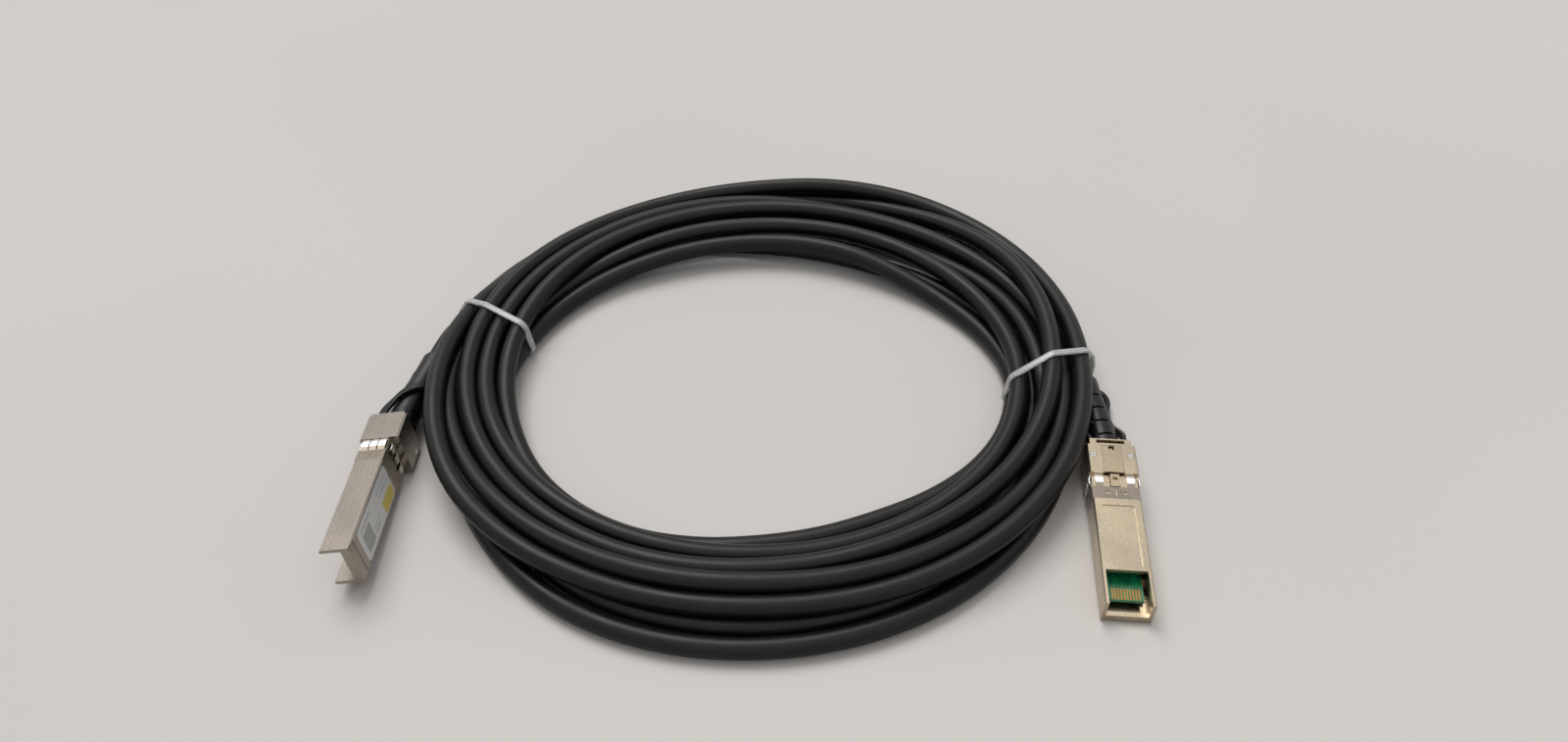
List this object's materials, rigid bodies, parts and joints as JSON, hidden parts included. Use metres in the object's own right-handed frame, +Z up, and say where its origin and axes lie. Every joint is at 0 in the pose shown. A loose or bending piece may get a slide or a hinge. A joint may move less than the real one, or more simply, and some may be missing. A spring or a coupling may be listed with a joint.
{
  "type": "direct attach copper cable",
  "caption": "Coiled, tied data cable with a metal pluggable connector at each end, each with a sprung latch worked by a black pull strap.",
  "frame": {"origin": "middle of the rectangle that the two connectors and the two ties cover, on the surface that the cable lies on", "axes": "+Z is up; +Y runs from the connectors' noses along the cable, towards the back of the coil; +X runs from the connector that stands on its side (plug_a) to the one that lies flat (plug_b)"},
  "size_m": [0.2312, 0.2118, 0.0186],
  "materials": {
    "nickel_casting": "satin nickel plate on a zinc casting",
    "spring_sheet": "satin rolled spring sheet",
    "nickel_sheet": "satin nickel plate",
    "pin_steel": "ground",
    "screw_steel": "bright plate",
    "card_green": "semi-gloss solder mask",
    "pad_gold": "gold plate",
    "chip_black": "matte",
    "bare_copper": "bare copper",
    "mould_white": "matte",
    "crimp_brass": "satin",
    "strap_black": "satin",
    "boot_black": "satin",
    "label_white": "printed film, fields of colour only",
    "cord_black": "satin jacket",
    "tie_clear": "clear, glossy"
  },
  "bodies": {
    "cable": {"cable_coil": "cord_black", "cable_tail_a": "cord_black", "cable_tail_b": "cord_black", "plug_a_boot": "boot_black", "plug_a_contact_pads": "pad_gold", "plug_a_crimp_ring": "crimp_brass", "plug_a_emi_collar": "spring_sheet", "plug_a_inner_mould": "mould_white", "plug_a_label": "label_white", "plug_a_latch_cover": "nickel_sheet", "plug_a_lever_pin": "pin_steel", "plug_a_lower_shell": "nickel_casting", "plug_a_memory_chip": "chip_black", "plug_a_paddle_card": "card_green", "plug_a_screw_left": "screw_steel", "plug_a_screw_right": "screw_steel", "plug_a_upper_shell": "nickel_casting", "plug_a_wires": "bare_copper", "plug_b_boot": "boot_black", "plug_b_contact_pads": "pad_gold", "plug_b_crimp_ring": "crimp_brass", "plug_b_emi_collar": "spring_sheet", "plug_b_inner_mould": "mould_white", "plug_b_latch_cover": "nickel_sheet", "plug_b_lever_pin": "pin_steel", "plug_b_lower_shell": "nickel_casting", "plug_b_memory_chip": "chip_black", "plug_b_paddle_card": "card_green", "plug_b_screw_left": "screw_steel", "plug_b_screw_right": "screw_steel", "plug_b_upper_shell": "nickel_casting", "plug_b_wires": "bare_copper", "tie_band_left": "tie_clear", "tie_band_right": "tie_clear"},
    "pull_a": {"plug_a_pull_slider": "nickel_sheet", "plug_a_pull_strap": "strap_black"},
    "latch_a": {"plug_a_latch_lever": "nickel_sheet"},
    "pull_b": {"plug_b_pull_slider": "nickel_sheet", "plug_b_pull_strap": "strap_black"},
    "latch_b": {"plug_b_latch_lever": "nickel_sheet"}
  },
  "joints": [
    {"name": "pull_a_slide", "type": "slide", "parent": "cable", "child": "pull_a", "axis": [0.0063, 0.9975, -0.0698], "range_m": [0, 0.0025], "stiffness_N_per_m": 2000},
    {"name": "latch_a_rock", "type": "hinge", "parent": "cable", "child": "latch_a", "pos_m": [-0.11353, -0.00035, 0.00758], "axis": [-0.1093, 0.07, 0.9915], "range_deg": [0, 5.6]},
    {"name": "pull_b_slide", "type": "slide", "parent": "cable", "child": "pull_b", "axis": [0.1006, 0.9935, 0.0542], "range_m": [0, 0.0025], "stiffness_N_per_m": 2000},
    {"name": "latch_b_rock", "type": "hinge", "parent": "cable", "child": "latch_b", "pos_m": [0.10767, -0.0161, 0.01085], "axis": [0.9949, -0.1007, 0], "range_deg": [0, 5.6]}
  ],
  "couplings": [
    {"joint": "latch_a_rock", "follows": "pull_a_slide", "rad_per_m": 38.4},
    {"joint": "latch_b_rock", "follows": "pull_b_slide", "rad_per_m": 38.4}
  ]
}
